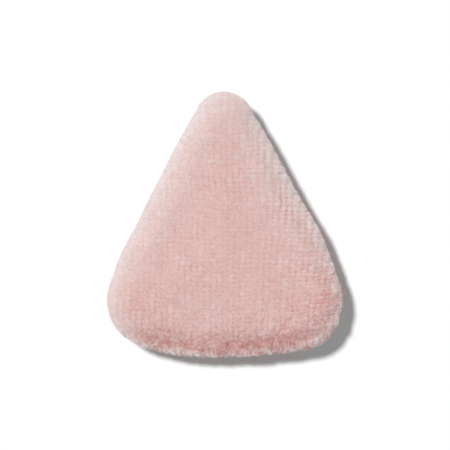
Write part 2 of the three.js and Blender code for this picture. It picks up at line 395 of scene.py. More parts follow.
def swell():
    """Where the points of the closed pad begin and how far the filling moves each of them, in millimetres."""
    scene = bpy.context.scene
    pad = placed("pad", closed_pad())
    remesh = pad.modifiers.new("remesh", "REMESH")
    remesh.mode = "VOXEL"
    remesh.voxel_size = swell_voxel * mm * swell_scale
    bpy.context.view_layer.update()
    even = bpy.data.meshes.new_from_object(pad.evaluated_get(bpy.context.evaluated_depsgraph_get()))
    pad.modifiers.remove(remesh)
    pad.data = even
    start = pad_points(even)
    held = np.flatnonzero(np.abs(start[:, 2] - seam_level) < ground_rim)
    pad.vertex_groups.new(name="seam").add(held.tolist(), 1.0, "REPLACE")
    cloth = pad.modifiers.new("cloth", "CLOTH")
    cloth.collision_settings.use_collision = False
    cloth.settings.effector_weights.gravity = 0
    for setting, value in {
        "quality": 6, "mass": 0.4, "vertex_group_mass": "seam",
        "tension_stiffness": 12, "compression_stiffness": 12, "shear_stiffness": 6, "bending_stiffness": 2,
        "use_pressure": True, "uniform_pressure_force": swell_pressure,
    }.items():
        setattr(cloth.settings, setting, value)
    for moment in range(1, swell_moments + 1):
        scene.frame_set(moment)
    end = pad_points(pad.evaluated_get(bpy.context.evaluated_depsgraph_get()).data)
    scene.frame_set(1)
    bpy.data.objects.remove(pad)
    return start, end - start


def swollen(cover, spots, moves, side):
    """Moves a cover's ground with the nearest points of the pad; the seam and the resting face stay put."""
    tree = kdtree.KDTree(len(spots))
    for index, spot in enumerate(spots):
        tree.insert(spot, index)
    tree.balance()
    mesh = cover.data
    for vertex, pile in zip(mesh.vertices, mesh.attributes["pile"].data):
        place = vertex.co / mm
        near = tree.find_n(place, swell_neighbours)
        weights = np.array([1 / (distance + 0.2) ** 2 for _, _, distance in near])
        move = weights @ moves[[index for _, index, _ in near]] / weights.sum()
        move *= min(1.0, swell_limit / max(np.linalg.norm(move), 1e-9)) * pile.value
        place = place + Vector(move)
        if side < 0:
            place.z = max(place.z, pile_length)
        vertex.co = place * mm


pad_spots, pad_moves = swell()
swollen(front_cover, pad_spots, pad_moves, 1)
swollen(back_cover, pad_spots, pad_moves, -1)


# Knitted ground
# The ground is a tight knit dyed with the pile and shows only as deep pink between the tufts.
# Its wales run from tip to base and its courses lie across them.
def worked_out(operation):
    """A method of Wire that adds one node of arithmetic."""
    def method(wire, *others):
        add_node = wire.nodes.vector if wire.is_vector else wire.nodes.math
        return add_node(operation, wire, *others)
    return method


class Wire:
    """One output in a node tree. Arithmetic on it adds the nodes that work the result out."""

    __add__ = worked_out("ADD")
    __sub__ = worked_out("SUBTRACT")
    __truediv__ = worked_out("DIVIDE")
    __pow__ = worked_out("POWER")
    __abs__ = worked_out("ABSOLUTE")
    __round__ = worked_out("ROUND")

    def __init__(self, nodes, socket):
        self.nodes = nodes
        self.socket = socket
        self.is_vector = socket.type in ("VECTOR", "RGBA")

    def __rsub__(self, other):
        return self.nodes.math("SUBTRACT", other, self)

    def __mul__(self, other):
        if self.is_vector:
            return self.nodes.made("ShaderNodeVectorMath", {0: self, "Scale": other}, operation="SCALE")
        return self.nodes.math("MULTIPLY", self, other)


class NodeChain:
    """Adds nodes to a tree and fills their inputs, by name or place, with values or wires."""

    def __init__(self, tree):
        self.tree = tree

    def feed(self, socket, value):
        if isinstance(value, Wire):
            self.tree.links.new(value.socket, socket)
        else:
            socket.default_value = value

    def add(self, kind, inputs=None, **settings):
        node = self.tree.nodes.new(kind)
        for key, value in settings.items():
            setattr(node, key, value)
        for key, value in (inputs or {}).items():
            self.feed(node.inputs[key], value)
        return node

    def made(self, kind, inputs=None, out=0, **settings):
        """One output of a new node."""
        return Wire(self, self.add(kind, inputs, **settings).outputs[out])

    def math(self, operation, *values):
        return self.made("ShaderNodeMath", dict(enumerate(values)), operation=operation)

    def vector(self, operation, *values, out=0):
        return self.made("ShaderNodeVectorMath", dict(enumerate(values)), out=out, operation=operation)

    def most(self, first, second):
        return self.math("MAXIMUM", first, second)

    def least(self, first, second):
        return self.math("MINIMUM", first, second)

    def clamped(self, value, low=0.0, high=1.0):
        return self.made("ShaderNodeClamp", {"Value": value, "Min": low, "Max": high})

    def combine(self, *parts):
        return self.made("ShaderNodeCombineXYZ", dict(enumerate(parts)))

    def separate(self, vector):
        return [Wire(self, part) for part in self.add("ShaderNodeSeparateXYZ", {0: vector}).outputs]

    def mixed(self, share, first, second, kind="VECTOR", blend="MIX"):
        """A blend of two vectors or two colours."""
        place, out = {"VECTOR": (4, 1), "RGBA": (6, 2)}[kind]
        return self.made("ShaderNodeMix", {0: share, place: first, place + 1: second}, out=out,
                         data_type=kind, blend_type=blend)

    def texture(self, place, scale, detail=2.0, out=0):
        return self.made("ShaderNodeTexNoise", {"Vector": place, "Scale": scale, "Detail": detail}, out=out)

    def ramp(self, value, *stops):
        """A colour for each value, from stops that are a place and a colour."""
        node = self.add("ShaderNodeValToRGB", {0: value})
        elements = node.color_ramp.elements
        while len(elements) < len(stops):
            elements.new(0.5)
        for element, (place, colour) in zip(elements, stops):
            element.position = place
            element.color = (*colour, 1)
        return Wire(self, node.outputs[0])

    def bump(self, height, strength, distance):
        return self.made("ShaderNodeBump", {"Height": height, "Strength": strength, "Distance": distance})


def new_material(name, finish):
    """A new material with its finish set, the chain of its nodes and the inputs of its shader."""
    material = bpy.data.materials.new(name)
    material.use_nodes = True
    shader = material.node_tree.nodes["Principled BSDF"].inputs
    for socket, value in finish.items():
        shader[socket].default_value = value
    return material, NodeChain(material.node_tree), shader


def velour_ground():
    """Dyed yarn knitted tight, a little uneven in its pink."""
    ground, nodes, shader = new_material("velour_ground", {"Roughness": 0.95})
    grain = nodes.texture(nodes.made("ShaderNodeUVMap", uv_map="cutting_pattern"), 180.0, 3.0)
    nodes.feed(shader["Base Color"], nodes.ramp(grain, (0.3, (0.60, 0.27, 0.24)), (0.7, (0.74, 0.42, 0.38))))
    return ground


ground_knit = velour_ground()
for cover, node in ((front_cover, "front_cover"), (back_cover, "back_cover")):
    cover.data.materials.append(ground_knit)
    wall = cover.modifiers.new("ground_thickness", "SOLIDIFY")
    wall.thickness = ground_thickness * mm
    wall.offset = -1.0
    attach(cover, "root")
    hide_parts(node)


# Pile of the velour
# Cut loops of fine yarn stand in tufts on every stitch of the ground: a column of tufts along each wale,
# with a thin parting between columns. Their ends crowd into one soft layer, rougher where it bends over.
wale_pitch = 1.45
course_pitch = 1.08
course_tilt = math.radians(-2.0)
layer_step = 0.2
layer_height = 1.7
back_layer_height = 1.5
bare_pile = 0.04
front_fibres = 30e6
back_fibres = 12e6


class GrowthChain(NodeChain):
    """Adds nodes to a geometry tree."""

    vectors = ("cutting_pattern", "flat", "upright", "tuft_offset", "bend")

    def position(self):
        return self.made("GeometryNodeInputPosition")

    def kind_of(self, name):
        return "FLOAT_VECTOR" if name in self.vectors else "FLOAT"

    def named(self, name):
        return self.made(
            "GeometryNodeInputNamedAttribute", {"Name": name}, out="Attribute", data_type=self.kind_of(name))

    def keep(self, geometry, name, value, kind=None, domain="POINT"):
        return self.made(
            "GeometryNodeStoreNamedAttribute", {"Geometry": geometry, "Name": name, "Value": value},
            data_type=kind or self.kind_of(name), domain=domain)

    def drop(self, geometry, *names):
        for name in names:
            geometry = self.made("GeometryNodeRemoveAttribute", {"Geometry": geometry, "Name": name})
        return geometry

    def move(self, geometry, how, place):
        return self.made("GeometryNodeSetPosition", {"Geometry": geometry, how: place})

    def delete(self, geometry, first, operation, second):
        """Geometry without the points for which a comparison holds."""
        chosen = self.made("FunctionNodeCompare", {0: first, 1: second}, operation=operation)
        return self.made("GeometryNodeDeleteGeometry", {"Geometry": geometry, "Selection": chosen})

    def chance(self, low, high, seed):
        return self.made("FunctionNodeRandomValue", {2: low, 3: high, "Seed": seed}, out=1, data_type="FLOAT")

    def noise(self, place, scale, detail=2.0):
        """Noise about zero."""
        return self.texture(place, scale, detail) - 0.5

    def drift(self, place, scale):
        """Noise about zero in every direction."""
        return self.texture(place, scale, out=1) - (0.5, 0.5, 0.5)

    def face(self, geometry, facing):
        facing = self.vector("NORMALIZE", facing)
        return self.made("GeometryNodeSetMeshNormal", {
            "Mesh": geometry, "Custom Normal": facing}, mode="FREE", domain="POINT")

    def finish(self, geometry, material):
        """Ends the tree with plain geometry of one material."""
        geometry = self.made("GeometryNodeRealizeInstances", {"Geometry": geometry})
        geometry = self.made("GeometryNodeSetMaterial", {"Geometry": geometry, "Material": material})
        self.add("NodeGroupOutput", {"Geometry": geometry})
        return self.tree


def new_tree(name, sizes):
    """A new geometry tree with named inputs: the chain of its nodes, and what the inputs give."""
    tree = bpy.data.node_groups.new(name, "GeometryNodeTree")
    tree.interface.new_socket("Geometry", in_out="INPUT", socket_type="NodeSocketGeometry")
    for label, value in sizes.items():
        kind = "NodeSocketInt" if isinstance(value, int) else "NodeSocketFloat"
        tree.interface.new_socket(label, in_out="INPUT", socket_type=kind).default_value = value
    tree.interface.new_socket("Material", in_out="INPUT", socket_type="NodeSocketMaterial")
    tree.interface.new_socket("Geometry", in_out="OUTPUT", socket_type="NodeSocketGeometry")
    nodes = GrowthChain(tree)
    return nodes, {socket.name: Wire(nodes, socket) for socket in nodes.add("NodeGroupInput").outputs}


def layer_tree():
    """The crowded ends of the tufts as one layer over the ground, with a parting at every wale."""
    nodes, given = new_tree("velour_layer", {
        "Pattern Span": pattern_span,
        "Wale Pitch": wale_pitch,
        "Course Pitch": course_pitch,
        "Course Tilt": math.tan(course_tilt),
        "Layer Step": layer_step,
        "Layer Height": layer_height * mm,
        "Parting Depth": 0.2 * mm,
        "Row Depth": 0.07 * mm,
        "Fluff": 0.06 * mm,
        "Wander": 2.2,
        "Stretch": -0.10,
        "Skew": 0.008,
        "Shading": 0.3,
        "Rim Lift": 0.7,
        "Face Side": 1.0,
        "Seed": 0.0,
    })

    # A fine grid on the cutting pattern, lifted onto the ground
    count = nodes.made("FunctionNodeFloatToInt", {0: given["Pattern Span"] / given["Layer Step"]})
    layer = nodes.made("GeometryNodeMeshGrid", {
        "Size X": 1.0, "Size Y": 1.0, "Vertices X": count, "Vertices Y": count})
    on_pattern = nodes.position() + (0.5, 0.5, 0.0)
    layer = nodes.keep(layer, "OFBake", on_pattern, "FLOAT2", "CORNER")
    layer = nodes.keep(layer, "flat", nodes.position() * given["Pattern Span"])

    def sampled(value, kind="FLOAT", out=0):
        return nodes.made("GeometryNodeSampleUVSurface", {
            "Mesh": given["Geometry"], "Value": value, "UV Map": nodes.named("cutting_pattern"),
            "Sample UV": on_pattern}, out=out, data_type=kind)

    normal = nodes.made("GeometryNodeInputNormal")
    layer = nodes.keep(layer, "upright", sampled(normal, "FLOAT_VECTOR"))
    for name in ("pile", "relief", "painted_sheen", "looseness", "painted_rim_sheen"):
        layer = nodes.keep(layer, name, sampled(nodes.named(name)))
    layer = nodes.keep(layer, "on_cloth", sampled(1.0, out="Is Valid"))
    layer = nodes.move(layer, "Position", sampled(nodes.position(), "FLOAT_VECTOR"))
    layer = nodes.delete(layer, nodes.named("on_cloth"), "LESS_THAN", 0.5)
    layer = nodes.delete(layer, nodes.named("pile"), "LESS_THAN", bare_pile)

    # Stitch of each spot: the knit wanders a little and is pulled out of square on its lower right
    relief, loose = nodes.named("relief"), nodes.named("looseness")
    flat = nodes.named("flat") + nodes.combine(0.0, 0.0, given["Seed"])
    x, y, _ = nodes.separate(flat)
    wander_x, wander_y, _ = nodes.separate(
        nodes.drift(flat, 0.06) + nodes.drift(flat, 0.75) * (relief * 0.06 + 0.2))
    stretched = nodes.most(x - 8.0, 0.0) * given["Stretch"]
    skew = nodes.most(x - 6.0, 0.0) * (nodes.most(-5.0 - y, 0.0) * given["Skew"])
    across = (x + stretched + wander_x * given["Wander"] + skew) / given["Wale Pitch"]
    along = (y - x * given["Course Tilt"] - skew + wander_y * given["Wander"]) / given["Course Pitch"]
    wale, course = round(across), round(along)
    off_x, off_y = across - wale, along - course
    tuft = nodes.combine(wale, course, given["Seed"])
    lift = nodes.made("ShaderNodeTexWhiteNoise", {"Vector": tuft}, noise_dimensions="3D") - 0.5

    # Partings between wales and rows between courses, lost where the pile is loose
    in_order = nodes.clamped(1.1 - loose * 1.5)
    parting = nodes.least(abs(off_x * 2.0), 1.0) ** 2.6 * in_order
    row = nodes.least(abs(off_y * 2.0), 1.0) ** 2.2 * in_order
    crest = (1.0 - parting) * (1.0 - row)
    thick = nodes.noise(flat + (31.0, 17.0, 0.0), 0.9)
    open_here = nodes.most(nodes.noise(flat, 0.16) * 3.2 + 0.65, 0.1)
    gap = parting * (row * 0.75 + 0.33) * (open_here * nodes.most(thick * 2.2 + 0.95, 0.0))

    # Height of the layer over the ground
    fine, broad, grain = nodes.noise(flat, 1.5, 4.0), nodes.noise(flat, 0.5), nodes.noise(flat, 2.6, 1.0)
    sunk = gap * given["Parting Depth"] + row * (given["Row Depth"] * (1.0 - relief * 0.3))
    sunk = (sunk - lift * crest * (given["Row Depth"] * 0.8)) * relief
    fluff = (fine * 2.0 + broad * (relief * 5.5)) * given["Fluff"]
    height = (given["Layer Height"] * (1.0 - loose * 0.3) - sunk + fluff) * nodes.named("pile")

    # Colour depth, mostly painted shade: deeper pink in the gaps, in the hollows of the fluff and where the
    # pile is open, over a random mottle, with a painted highlight as a pale dot on the tallest tufts
    painted_tip_highlight = nodes.most(lift - 0.30, 0.0) * crest
    mottle = fine * (-0.45 - loose * 3.5) - broad * (relief * 0.5) - grain * 1.6
    depth = (gap * 0.52 + row * 0.06 + mottle - painted_tip_highlight * 1.6) * (relief + 0.75)
    deeper = nodes.most(relief - 0.5, 0.0) * 0.2 + nodes.most(loose - 0.2, 0.0) * 0.42
    # Painted shade: the painted sheen is taken out of the partings
    painted_parting_shade = nodes.least(relief * 1.3, 0.9) * nodes.least(parting * 0.7 + row * 0.35, 1.0)
    layer = nodes.keep(layer, "tuft_offset", nodes.combine(off_x, off_y, lift))
    layer = nodes.keep(layer, "tuft_tone_and_painted_shade", depth + (deeper + 0.3))
    layer = nodes.keep(layer, "painted_sheen", nodes.named("painted_sheen") * (1.0 - painted_parting_shade))

    # The layer faces more evenly than its bumps do, because light goes on between the fibres
    upright = nodes.named("upright")
    layer = nodes.move(layer, "Offset", upright * height)
    facing = nodes.mixed(1.0 - nodes.least(relief * given["Shading"], 0.45), normal, upright)
    facing = nodes.mixed(given["Rim Lift"], facing, nodes.combine(0.0, 0.0, given["Face Side"]))
    layer = nodes.drop(nodes.face(layer, facing), "flat", "on_cloth", "UVMap")
    return nodes.finish(layer, given["Material"])


def fuzz_tree():
    """Loose fibre ends that stand out of the layer, splayed from the middle of each tuft."""
    nodes, given = new_tree("velour_fuzz", {
        "Density": front_fibres,
        "Fibre Length": 0.28 * mm,
        "Fibre Width": 0.036 * mm,
        "Flatness": 0.4,
        "Splay": 0.5,
        "Lean": 0.25,
        "Rim Lift": 0.7,
        "Face Side": 1.0,
        "Band Low": -1.0,
        "Band High": 1.0,
        "Seed": 1,
    })
    relief, loose = nodes.named("relief"), nodes.named("looseness")
    fibres = nodes.made("GeometryNodeDistributePointsOnFaces", {
        "Mesh": given["Geometry"], "Seed": given["Seed"], "Density": given["Density"] * (loose * 0.4 + 0.8)},
        distribute_method="RANDOM")
    _, up, _ = nodes.separate(nodes.position())
    fibres = nodes.delete(fibres, up, "LESS_THAN", given["Band Low"])
    fibres = nodes.delete(fibres, up, "GREATER_EQUAL", given["Band High"])

    # Direction: upright, splayed from the middle of the tuft and combed towards the base
    upright = nodes.vector("NORMALIZE", nodes.named("upright"))
    sideways = nodes.vector("NORMALIZE", nodes.vector("CROSS_PRODUCT", (0.0, 1.0, 0.0), upright))
    lengthways = nodes.vector("CROSS_PRODUCT", upright, sideways)
    off_x, off_y, lift = nodes.separate(nodes.named("tuft_offset"))
    outer = (nodes.most(abs(off_x), abs(off_y)) * 2.0) ** 2.0
    drift_x, drift_y, _ = nodes.separate(
        nodes.drift(nodes.position(), 160.0) + nodes.drift(nodes.position(), 480.0) * (loose * 3.5))
    gathered = given["Splay"] - (loose * 0.5 + nodes.least(relief, 1.0) * 0.6)

    def leaning(off, drift, seed, combed):
        lean = off * gathered + drift * 1.4 + nodes.chance(-0.5, 0.5, seed) + given["Lean"] * combed
        return lean * (3.0 - loose * 2.3)

    lean = sideways * leaning(off_x, drift_x, 31, 0.0) + lengthways * leaning(off_y, drift_y, 32, -1.0)
    curl = nodes.drift(nodes.position(), 1100.0) * (loose * 10.0)
    fibres = nodes.keep(fibres, "bend", (lean * 0.5 + curl) * given["Fibre Length"])

    # Shade of each fibre, a random tone with light painted in: painted sheen makes it pale at the rim,
    # painted shade deeper at the border of each tuft and where the pile is frayed, and a painted highlight
    # lighter on the middle of the taller tufts
    frayed = nodes.most(loose - 0.2, 0.0)
    pale = nodes.most(nodes.named("painted_sheen") * 0.9, nodes.named("painted_rim_sheen") * 0.97)
    deep = nodes.chance(0.14, 0.66, 41) * (1.0 - frayed * 1.7)
    on_tip = lift * 0.4 * (1.0 - outer)
    crossing = (off_x * 2.0) ** 2.0 * ((off_y * 2.0) ** 2.0 * 0.65 + 0.35)
    parted = crossing * nodes.most(relief * 0.7 + 0.2 - frayed * 2.5, 0.0)
    clump = nodes.noise(nodes.position(), 480.0) * (frayed * 5.5)
    speck = nodes.noise(nodes.position(), 2600.0, 1.0) * (frayed * 2.2 + 1.0)
    shade = deep * (1.0 - pale) + pale * 0.95 + (on_tip - parted) + clump + speck
    shade = nodes.clamped(shade - frayed * (0.5 - pale * 0.45), 0.02, 0.98)
    fibres = nodes.keep(fibres, "shade", shade)

    # One fibre: a slim spindle with its root at the origin
    spindle = nodes.made("GeometryNodeMeshUVSphere", {"Segments": 3, "Rings": 2, "Radius": 1.0})
    spot_x, spot_y, spot_z = nodes.separate(nodes.position())
    spindle = nodes.move(spindle, "Position", nodes.combine(spot_x, spot_y, spot_z * 0.5 + 0.5))
    spindle = nodes.keep(spindle, "height", spot_z)
    spindle = nodes.keep(spindle, "around", spot_x)

    # A fibre on each point, flat side up and bent over towards its end
    longer = (loose * 2.2 + 0.6) * (1.0 - outer * 0.4)
    length = given["Fibre Length"] * nodes.named("pile") * (longer * nodes.chance(0.6, 1.2, 51))
    width = given["Fibre Width"] * ((loose * 0.4 + 0.9) * nodes.chance(0.7, 1.3, 52))
    outwards = nodes.combine(0.0, 0.0, given["Face Side"])
    turned = nodes.made("FunctionNodeAlignRotationToVector", {"Vector": upright + lean}, axis="Z")
    turned = nodes.made("FunctionNodeAlignRotationToVector", {
        "Rotation": turned, "Vector": outwards}, axis="X", pivot_axis="Z")
    fuzz = nodes.made("GeometryNodeInstanceOnPoints", {
        "Points": fibres, "Instance": spindle, "Rotation": turned,
        "Scale": nodes.combine(width * given["Flatness"], width, length)})
    fuzz = nodes.made("GeometryNodeRealizeInstances", {"Geometry": fuzz})
    height, around = nodes.named("height"), nodes.named("around")
    fuzz = nodes.move(fuzz, "Offset", nodes.named("bend") * height ** 2.0)
    facing = nodes.mixed(given["Rim Lift"], nodes.named("upright"), outwards)
    fuzz = nodes.keep(nodes.face(fuzz, facing), "OFBake", nodes.combine(
        nodes.named("shade") + around * 0.006, height * 0.98 + 0.01, 0.0), "FLOAT2", "CORNER")
    fuzz = nodes.drop(fuzz, "tuft_offset", "tuft_tone_and_painted_shade", "upright", "bend", "shade", "height", "around",
                      "pile", "relief", "painted_sheen", "looseness", "painted_rim_sheen", "UVMap")
    return nodes.finish(fuzz, given["Material"])


def layer_yarn():
    """Dyed yarn from its ends: painted shade deepens the gaps, painted sheen and light pale the rim."""
    yarn, nodes, shader = new_material("velour_layer", {
        "Roughness": 0.9, "Specular IOR Level": 0.15, "Sheen Weight": 0.8, "Sheen Roughness": 0.5})
    depth = nodes.made("ShaderNodeAttribute", out="Fac", attribute_name="tuft_tone_and_painted_shade")
    painted_sheen = nodes.made("ShaderNodeAttribute", out="Fac", attribute_name="painted_sheen")
    deep = nodes.ramp(
        depth, (0.0, (0.755, 0.575, 0.552)), (0.3, (0.742, 0.503, 0.471)), (0.6, (0.715, 0.43, 0.396)),
        (1.0, (0.65, 0.30, 0.27)))
    # Painted sheen: paler where the pile is seen from the side
    pale = nodes.mixed(painted_sheen, deep, (0.78, 0.71, 0.705, 1), "RGBA")
    # Painted light: lighter still on the right side, where the painted sheen goes past one
    bright = nodes.mixed((painted_sheen - 1.0) * 6.0, pale, (0.90, 0.785, 0.775, 1), "RGBA")
    nodes.feed(shader["Base Color"], bright)
    return yarn


def fuzz_yarn():
    """Single fibres, each a little different in shade, darkened towards the root as painted shade."""
    yarn, nodes, shader = new_material("velour_fuzz", {
        "Roughness": 0.85, "Specular IOR Level": 0.2, "Sheen Weight": 0.3, "Sheen Roughness": 0.4})
    shade, along, _ = nodes.separate(nodes.made("ShaderNodeUVMap", uv_map="OFBake"))
    # Painted shade: deeper pink towards the root, down in the pile
    length = nodes.ramp(along, (0.0, (0.96, 0.80, 0.78)), (0.7, (1.0, 1.0, 1.0)))
    # The palest stops at the top are reached only through the painted sheen and painted light
    tint = nodes.ramp(
        shade, (0.0, (0.66, 0.35, 0.325)), (0.14, (0.765, 0.485, 0.449)), (0.62, (0.82, 0.632, 0.604)),
        (0.86, (0.83, 0.785, 0.78)), (1.0, (0.95, 0.855, 0.845)))
    nodes.feed(shader["Base Color"], nodes.mixed(1.0, length, tint, "RGBA", "MULTIPLY"))
    return yarn


def grown(source, name, tree, values):
    """A new piece: a mesh after one geometry tree, made a plain mesh."""
    piece = placed(name, source.copy())
    growth = piece.modifiers.new(tree.name, "NODES")
    growth.node_group = tree
    for item in tree.interface.items_tree:
        if item.in_out == "INPUT" and item.name in values:
            growth[item.identifier] = values[item.name]
    bpy.context.view_layer.update()
    ready = piece.evaluated_get(bpy.context.evaluated_depsgraph_get())
    mesh = bpy.data.meshes.new_from_object(ready)
    piece.modifiers.remove(growth)
    piece.data = mesh
    mesh.name = name
    return piece


# Each band of fibres: its name, and where it begins and ends between base and tip, in metres
front_bands = (
    ("base", -1.0, -0.022),
    ("lower", -0.022, -0.013),
    ("middle", -0.013, -0.003),
    ("upper", -0.003, 0.009),
    ("tip", 0.009, 1.0),
)
back_bands = (
    ("base", -1.0, -0.010),
    ("tip", -0.010, 1.0),
)
velour_layer, velour_fuzz = layer_tree(), fuzz_tree()
tuft_yarn, fibre_yarn = layer_yarn(), fuzz_yarn()
for side, cover, face_side, tallest, density, bands, seed in (
    ("front", front_cover, 1.0, layer_height, front_fibres, front_bands, 1),
    ("back", back_cover, -1.0, back_layer_height, back_fibres, back_bands, 2),
):
    layer = grown(cover.data, f"{side}_pile_layer", velour_layer, {
        "Layer Height": tallest * mm, "Seed": 7.0 * seed, "Face Side": face_side, "Material": tuft_yarn})
    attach(layer, "root")
    for band, low, high in bands:
        fuzz = grown(layer.data, f"{side}_pile_{band}", velour_fuzz, {
            "Density": density, "Band Low": low, "Band High": high, "Face Side": face_side,
            "Seed": seed, "Material": fibre_yarn})
        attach(fuzz, "root")


# Finger strap
# A satin ribbon with firm selvedges lies across the back, for fingers to slip under. Its ends go round the
# edge and are caught in the side seams, between the two allowances.
strap_thickness = 0.4
strap_sink = 0.5
strap_bend = 0.8
strap_rows = 37
strap_steps = 40
strap_bend_steps = 7
side_start = 8.0
side_reach = 16.0
selvedge_width = 1.0
selvedge_swell = 0.12
selvedge_fade = 0.4
thin_edge = 0.05
weave_scale = 100.0
warp_pitch = 0.22
weft_pitch = 0.9
weft_shift = 0.37


def strap_stops():
    """Half of the strap in section, from the end of its flat run to its end in the seam: inset and level."""
    middle = strap_thickness / 2
    drop = seam_level - strap_bend - middle
    stops = [(roll_width, middle)]
    for angle in quarter_turn(roll_rings):
        stops.append((
            roll_width - (roll_width - strap_sink) * math.sin(angle),
            middle + drop * (1 - math.cos(angle)),
        ))
    for angle in quarter_turn(strap_bend_steps):
        stops.append((
            strap_sink + strap_bend * (1 - math.cos(angle)),
            seam_level - strap_bend * (1 - math.sin(angle)),
        ))
    for inset in np.linspace(strap_sink + strap_bend, allowance_reach, strap_bend_steps + 1)[1:]:
        stops.append((inset, seam_level))
    return stops


def side_edge(row, sign):
    """Where the outline crosses one row on its right or left, and how squarely it faces outwards there."""
    near = (edge_points[:, 0] * sign > side_start) & (np.abs(edge_points[:, 1] - strap_place) < side_reach)
    order = np.argsort(edge_points[near, 1])
    rows = edge_points[near, 1][order]
    return (
        np.interp(row, rows, edge_points[near, 0][order]),
        abs(np.interp(row, rows, edge_normals[near, 0][order])),
    )


def strap_path(row):
    """One thread of the ribbon from its left end to its right end."""
    halves = []
    for sign in (-1, 1):
        edge, square = side_edge(row, sign)
        halves.append([(edge - sign * inset / square, level) for inset, level in strap_stops()])
    left, right = halves
    flat = [(x, strap_thickness / 2) for x in np.linspace(left[0][0], right[0][0], strap_steps)[1:-1]]
    return np.array(left[::-1] + flat + right)


def ribbon():
    """The ribbon as a closed mesh with its weave as a UV map, its longest thread and its area when flat."""
    rows = strap_place + strap_width * np.linspace(-0.5, 0.5, strap_rows)
    from_edge = strap_width / 2 - np.abs(rows - strap_place)
    selvedge = np.exp(-(((from_edge - selvedge_width / 2) / selvedge_fade) ** 2))
    thick = strap_thickness * (1 + selvedge_swell * selvedge)
    thick = np.where(from_edge < thin_edge, strap_thickness / 2, thick)
    upper, lower, weave = [], [], []
    for row, wall in zip(rows, thick):
        path = strap_path(row)
        ahead = unit(np.gradient(path, axis=0))
        off = np.stack((-ahead[:, 1], ahead[:, 0]), axis=1) * wall / 2
        run = run_along(path)
        upper.append(np.insert(path + off, 1, row, axis=1))
        lower.append(np.insert(path - off, 1, row, axis=1))
        weave.append(np.stack((run - run[-1] / 2, np.full(len(run), row - strap_place)), axis=1))
    upper, lower, weave = (np.array(part) for part in (upper, lower, weave))
    count = upper.shape[1]
    loop = 2 * strap_rows
    points = np.concatenate((upper, lower[::-1])).transpose(1, 0, 2).reshape(-1, 3)
    threads = np.concatenate((weave, weave[::-1])).transpose(1, 0, 2).reshape(-1, 2)
    faces = []
    for place in range(count - 1):
        here = place * loop
        for spot in range(loop):
            after = (spot + 1) % loop
            faces.append((here + spot, here + after, here + loop + after, here + loop + spot))
    faces.append(tuple(range(loop))[::-1])
    faces.append(tuple((count - 1) * loop + spot for spot in range(loop)))
    mesh = mesh_of("finger_strap_ribbon", points, faces)
    lay_out(mesh, "weave", threads / weave_scale)
    lengths = 2 * weave[:, -1, 0]
    return mesh, lengths.max(), lengths.mean() * strap_width


def satin():
    """Satin: bright warp floats along the ribbon with the weft showing as fine ticks, and a matt selvedge."""
    cloth, nodes, shader = new_material("satin", {
        "Specular IOR Level": 0.45, "Anisotropic": 0.5, "Sheen Weight": 0.15})
    along, across, _ = nodes.separate(nodes.made("ShaderNodeUVMap", uv_map="weave") * weave_scale)
    warp = nodes.math("SINE", across * (2 * math.pi / warp_pitch))
    shift = nodes.math("FLOOR", across / warp_pitch) * weft_shift
    weft = nodes.math("SINE", (along + shift) * (2 * math.pi / weft_pitch))
    tick = nodes.most(weft, 0.0) ** 6.0
    height = warp * 0.5 - tick
    streak = nodes.texture(nodes.combine(along * 0.05, across * 2.2, 0.0), 1.0, 3.0)
    # Painted highlight and shade: lighter on the warp floats and darker at the weft ticks, over dye streaks
    colour = nodes.ramp(height * 0.12 + streak, (0.3, (0.66, 0.40, 0.37)), (0.7, (0.78, 0.53, 0.50)))
    border = nodes.math("GREATER_THAN", abs(across), strap_width / 2 - selvedge_width)
    nodes.feed(shader["Base Color"], colour)
    nodes.feed(shader["Roughness"], border * 0.25 + (tick * 0.12 + 0.30))
    nodes.feed(shader["Normal"], nodes.bump(height, 0.25, 0.03 * mm))
    return cloth


strap_mesh, strap_length, strap_area = ribbon()
strap_mesh.materials.append(satin())
strap = placed("finger_strap_ribbon", strap_mesh)
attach(strap, "root")
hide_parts("finger_strap")


# Sewing threads
# Three-ply polyester thread dyed with the velour. One lockstitched row holds the allowances together all
# round except at the turning gap, short rows tack the strap ends, and a ladder stitch closes the gap.
thread_diameter = 0.4
twist_pitch = 1.1
stitch_length = 2.75
stitch_sink = 0.3
hole_reach = 0.28
path_step = 0.2
seam_inset = 3.2
needle_level = seam_level + 1.81
bobbin_level = seam_level - 1.71
tack_inset = 4.3
tack_level = seam_level - 1.89
tack_steps = 30
closing_inset = 1.1
closing_sway = 0.15
turning_gap = 22.0
base_rows = -20.0


def thread_tree():
    """Three plies twisted about the path that the piece's edges give."""
    nodes, given = new_tree("sewing_thread", {
        "Thread Diameter": thread_diameter * mm,
        "Twist Pitch": twist_pitch * mm,
        "Step": 0.13 * mm,
        "Ply Radius": 0.26,
        "Ply Offset": 0.24,
        "Ply Sides": 5,
        "Plies": 3,
    })
    path = nodes.made("GeometryNodeMeshToCurve", {"Mesh": given["Geometry"]})
    path = nodes.made("GeometryNodeResampleCurve", {"Curve": path, "Length": given["Step"]}, mode="LENGTH")
    copies = nodes.add(
        "GeometryNodeDuplicateElements", {"Geometry": path, "Amount": given["Plies"]}, domain="SPLINE")
    plies, ply = (Wire(nodes, socket) for socket in copies.outputs)
    normal = nodes.made("GeometryNodeInputNormal")
    sideways = nodes.vector("CROSS_PRODUCT", nodes.made("GeometryNodeInputTangent"), normal)
    run = nodes.made("GeometryNodeSplineParameter", out="Length")
    angle = (run / given["Twist Pitch"] + ply / given["Plies"]) * (2 * math.pi)
    off = normal * nodes.math("COSINE", angle) + sideways * nodes.math("SINE", angle)
    strands = nodes.move(plies, "Offset", off * (given["Thread Diameter"] * given["Ply Offset"]))
    round_ply = nodes.made("GeometryNodeCurvePrimitiveCircle", {
        "Resolution": given["Ply Sides"], "Radius": given["Thread Diameter"] * given["Ply Radius"]})
    yarn = nodes.made("GeometryNodeCurveToMesh", {
        "Curve": strands, "Profile Curve": round_ply, "Fill Caps": True})
    return nodes.finish(yarn, given["Material"])


